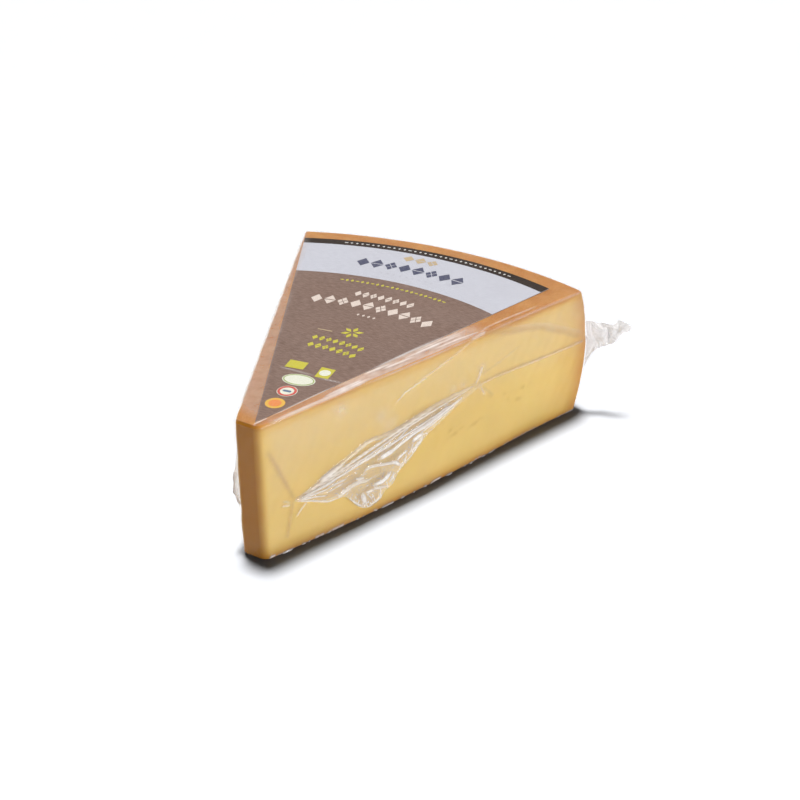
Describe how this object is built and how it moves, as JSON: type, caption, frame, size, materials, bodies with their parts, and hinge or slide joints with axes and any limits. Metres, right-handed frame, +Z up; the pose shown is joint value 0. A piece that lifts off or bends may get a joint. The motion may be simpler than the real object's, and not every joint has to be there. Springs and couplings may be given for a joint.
{
  "type": "vacuum-packed mountain cheese chunk",
  "caption": "Wedge of hard mountain cheese with natural rind, blunt nose and bulging heel, in a clear vacuum bag with a printed sector label on top.",
  "frame": {"origin": "centre of the bounding box's footprint, on the base", "axes": "+X from the nose to the heel, +Y towards the cut face on the left of the nose, +Z up through the labelled rind"},
  "size_m": [0.2884, 0.2554, 0.0956],
  "materials": {
    "cheese": "cut hard cheese, satin under film, with an orange-brown rind",
    "label_paper": "printed matt paper",
    "film": "clear glossy pouch film"
  },
  "bodies": {
    "root": {"cheese_wedge": "cheese", "label": "label_paper", "bag_film": "film"}
  },
  "joints": []
}
